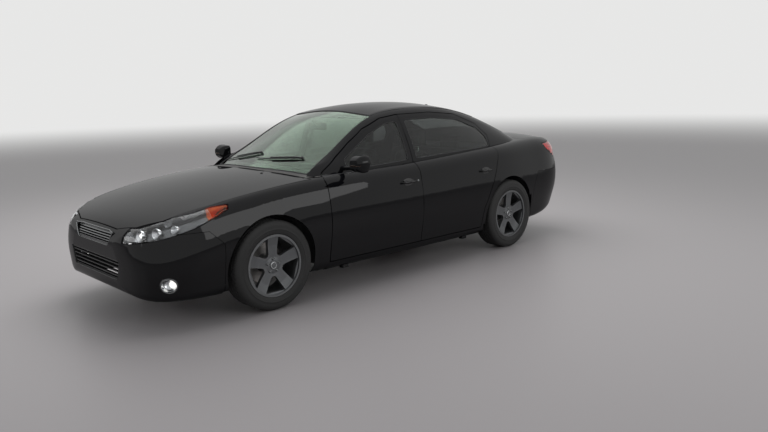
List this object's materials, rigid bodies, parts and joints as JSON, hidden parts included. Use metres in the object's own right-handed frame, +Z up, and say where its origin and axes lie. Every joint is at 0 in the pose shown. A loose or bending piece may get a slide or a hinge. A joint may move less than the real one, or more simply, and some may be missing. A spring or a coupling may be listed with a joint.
{
  "type": "sedan car",
  "caption": "Four-door sedan car with hinged doors, hood and boot lid, steered front wheels, hollow cabin and boot.",
  "frame": {"origin": "on the ground under the middle of the car, the centre of its bounding box's lower face", "axes": "+Z up, -Y towards the nose, +X towards the car's left side"},
  "size_m": [2.1648, 4.83, 1.455],
  "materials": {
    "door_front_left": "gloss black paint",
    "glass_front_left": "tinted safety glass",
    "tyre_front_left": "matt black rubber",
    "wheel_front_left": "painted silver alloy",
    "door_front_right": "gloss black paint",
    "glass_front_right": "tinted safety glass",
    "tyre_front_right": "matt black rubber",
    "wheel_front_right": "painted silver alloy",
    "door_rear_left": "gloss black paint",
    "glass_rear_left": "tinted safety glass",
    "tyre_rear_left": "matt black rubber",
    "wheel_rear_left": "painted silver alloy",
    "door_rear_right": "gloss black paint",
    "glass_rear_right": "tinted safety glass",
    "tyre_rear_right": "matt black rubber",
    "wheel_rear_right": "painted silver alloy",
    "mirror_left": "gloss black paint",
    "knuckle_left": "rough cast metal",
    "mirror_right": "gloss black paint",
    "knuckle_right": "rough cast metal",
    "side_frames": "gloss black paint",
    "roof_panel": "gloss black paint",
    "hood": "gloss black paint",
    "trunk_lid": "gloss black paint",
    "front_fenders": "gloss black paint",
    "front_bumper": "gloss black paint",
    "rear_bumper": "gloss black paint",
    "firewall": "satin black primer",
    "floor_pan": "satin black primer",
    "trunk_floor": "satin black primer",
    "rear_shelf": "satin black primer",
    "front_frame": "satin black primer",
    "grille": "grained black plastic",
    "wheel_liners": "grained black plastic",
    "dashboard": "grained black plastic",
    "steering_wheel": "grained black plastic",
    "fuel_tank": "grained black plastic",
    "front_suspension": "rough cast metal",
    "rear_axle": "rough cast metal",
    "engine": "rough cast metal",
    "exhaust": "heat-dulled steel",
    "headlamps": "clear lens over silver reflectors",
    "fog_lamps": "clear lens over silver reflectors",
    "tail_lamps": "red lens",
    "windshield": "tinted safety glass",
    "rear_window": "tinted safety glass",
    "front_seats": "dark grey woven cloth",
    "rear_seat": "dark grey woven cloth"
  },
  "bodies": {
    "body": {"side_frames": "side_frames", "roof_panel": "roof_panel", "front_fenders": "front_fenders", "front_bumper": "front_bumper", "rear_bumper": "rear_bumper", "firewall": "firewall", "floor_pan": "floor_pan", "trunk_floor": "trunk_floor", "rear_shelf": "rear_shelf", "front_frame": "front_frame", "grille": "grille", "wheel_liners": "wheel_liners", "dashboard": "dashboard", "fuel_tank": "fuel_tank", "front_suspension": "front_suspension", "rear_axle": "rear_axle", "engine": "engine", "exhaust": "exhaust", "headlamps": "headlamps", "fog_lamps": "fog_lamps", "tail_lamps": "tail_lamps", "windshield": "windshield", "rear_window": "rear_window", "front_seats": "front_seats", "rear_seat": "rear_seat"},
    "door_front_left": {"door_front_left": "door_front_left", "glass_front_left": "glass_front_left", "mirror_left": "mirror_left"},
    "wheel_front_left": {"tyre_front_left": "tyre_front_left", "wheel_front_left": "wheel_front_left"},
    "door_front_right": {"door_front_right": "door_front_right", "glass_front_right": "glass_front_right", "mirror_right": "mirror_right"},
    "wheel_front_right": {"tyre_front_right": "tyre_front_right", "wheel_front_right": "wheel_front_right"},
    "door_rear_left": {"door_rear_left": "door_rear_left", "glass_rear_left": "glass_rear_left"},
    "wheel_rear_left": {"tyre_rear_left": "tyre_rear_left", "wheel_rear_left": "wheel_rear_left"},
    "door_rear_right": {"door_rear_right": "door_rear_right", "glass_rear_right": "glass_rear_right"},
    "wheel_rear_right": {"tyre_rear_right": "tyre_rear_right", "wheel_rear_right": "wheel_rear_right"},
    "knuckle_left": {"knuckle_left": "knuckle_left"},
    "knuckle_right": {"knuckle_right": "knuckle_right"},
    "hood": {"hood": "hood"},
    "trunk_lid": {"trunk_lid": "trunk_lid"},
    "steering_wheel": {"steering_wheel": "steering_wheel"}
  },
  "joints": [
    {"name": "door_front_left_hinge", "type": "hinge", "parent": "body", "child": "door_front_left", "pos_m": [0.877, -0.888, 0.6], "axis": [0, 0, -1], "range_deg": [0, 65]},
    {"name": "door_front_right_hinge", "type": "hinge", "parent": "body", "child": "door_front_right", "pos_m": [-0.877, -0.888, 0.6], "axis": [0, 0, 1], "range_deg": [0, 65]},
    {"name": "door_rear_left_hinge", "type": "hinge", "parent": "body", "child": "door_rear_left", "pos_m": [0.877, 0.129, 0.6], "axis": [0, 0, -1], "range_deg": [0, 65]},
    {"name": "door_rear_right_hinge", "type": "hinge", "parent": "body", "child": "door_rear_right", "pos_m": [-0.877, 0.129, 0.6], "axis": [0, 0, 1], "range_deg": [0, 65]},
    {"name": "hood_hinge", "type": "hinge", "parent": "body", "child": "hood", "pos_m": [0, -0.975, 0.895], "axis": [-1, 0, 0], "range_deg": [0, 50]},
    {"name": "trunk_lid_hinge", "type": "hinge", "parent": "body", "child": "trunk_lid", "pos_m": [0, 1.692, 1.058], "axis": [1, 0, 0], "range_deg": [0, 70]},
    {"name": "steer_left", "type": "hinge", "parent": "body", "child": "knuckle_left", "pos_m": [0.69, -1.46, 0.215], "axis": [-0.2079, 0, 0.9781], "range_deg": [-35, 35]},
    {"name": "wheel_front_left_spin", "type": "hinge", "parent": "knuckle_left", "child": "wheel_front_left", "pos_m": [0.795, -1.46, 0.334], "axis": [1, 0, 0], "continuous": true},
    {"name": "wheel_rear_left_spin", "type": "hinge", "parent": "body", "child": "wheel_rear_left", "pos_m": [0.795, 1.34, 0.334], "axis": [1, 0, 0], "continuous": true},
    {"name": "steer_right", "type": "hinge", "parent": "body", "child": "knuckle_right", "pos_m": [-0.69, -1.46, 0.215], "axis": [0.2079, 0, 0.9781], "range_deg": [-35, 35]},
    {"name": "wheel_front_right_spin", "type": "hinge", "parent": "knuckle_right", "child": "wheel_front_right", "pos_m": [-0.795, -1.46, 0.334], "axis": [1, 0, 0], "continuous": true},
    {"name": "wheel_rear_right_spin", "type": "hinge", "parent": "body", "child": "wheel_rear_right", "pos_m": [-0.795, 1.34, 0.334], "axis": [1, 0, 0], "continuous": true},
    {"name": "steering_wheel_turn", "type": "hinge", "parent": "body", "child": "steering_wheel", "pos_m": [0.365, -0.45, 0.8], "axis": [0, 0.9135, 0.4067], "range_deg": [-525, 525]}
  ],
  "couplings": [
    {"joint": "steer_right", "follows": "steer_left", "ratio": 1},
    {"joint": "steering_wheel_turn", "follows": "steer_left", "ratio": 15}
  ]
}
